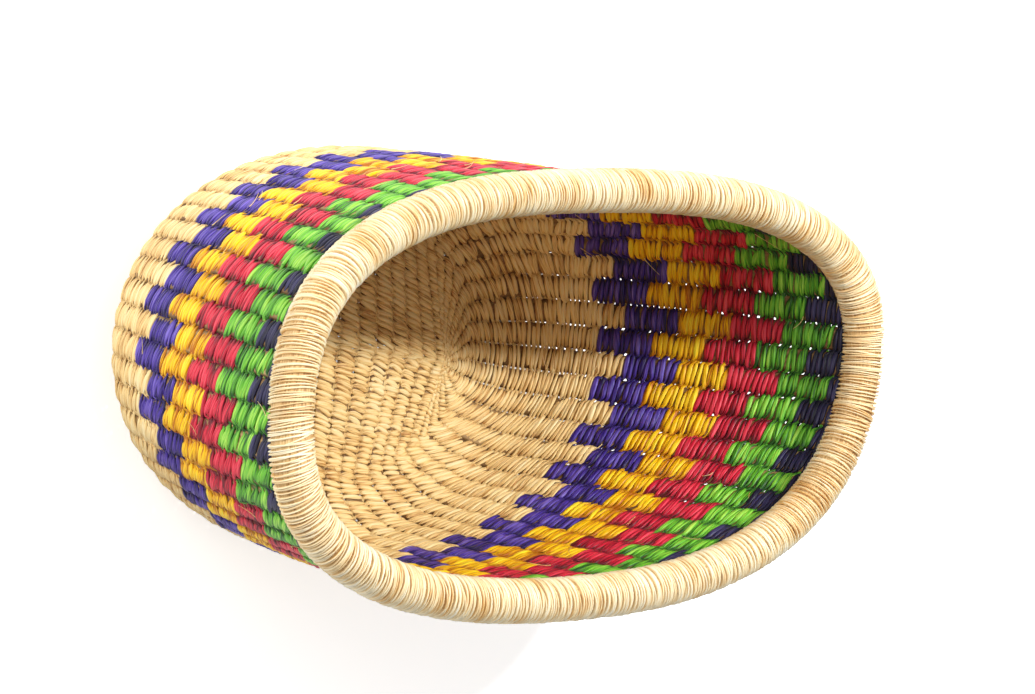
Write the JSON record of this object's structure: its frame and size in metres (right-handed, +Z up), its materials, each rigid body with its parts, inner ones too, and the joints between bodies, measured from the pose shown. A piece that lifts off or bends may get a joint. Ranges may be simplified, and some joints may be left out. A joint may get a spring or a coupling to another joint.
{
  "type": "oval woven basket",
  "caption": "Deep oval basket of twined straw with stepped colour bands, a rounded bottom corner, a flat base and a thick bound rim.",
  "frame": {"origin": "centre of the basket's outline seen from above, on the surface that it stands on", "axes": "+X along the long way of the oval, +Y across it, +Z up out of the mouth"},
  "size_m": [0.3735, 0.2178, 0.1932],
  "materials": {
    "natural_straw": "dry, slightly glossy grass straw, natural",
    "rim_straw": "slightly glossy grass straw, natural and pale",
    "purple_straw": "slightly glossy grass straw, dyed purple",
    "yellow_straw": "slightly glossy grass straw, dyed yellow",
    "red_straw": "slightly glossy grass straw, dyed red",
    "green_straw": "slightly glossy grass straw, dyed green",
    "navy_straw": "slightly glossy grass straw, dyed dark navy"
  },
  "bodies": {
    "root": {"base_weave": "natural_straw", "natural_band": "natural_straw", "corner_band": "natural_straw", "purple_band": "purple_straw", "yellow_band": "yellow_straw", "red_band": "red_straw", "green_band": "green_straw", "navy_band": "navy_straw", "rim_core": "natural_straw", "rim_wrap_01": "rim_straw", "rim_wrap_02": "rim_straw", "rim_wrap_03": "rim_straw", "rim_wrap_04": "rim_straw", "rim_wrap_05": "rim_straw", "rim_wrap_06": "rim_straw", "rim_wrap_07": "rim_straw", "rim_wrap_08": "rim_straw", "rim_wrap_09": "rim_straw", "rim_wrap_10": "rim_straw", "rim_wrap_11": "rim_straw", "rim_wrap_12": "rim_straw"}
  },
  "joints": []
}
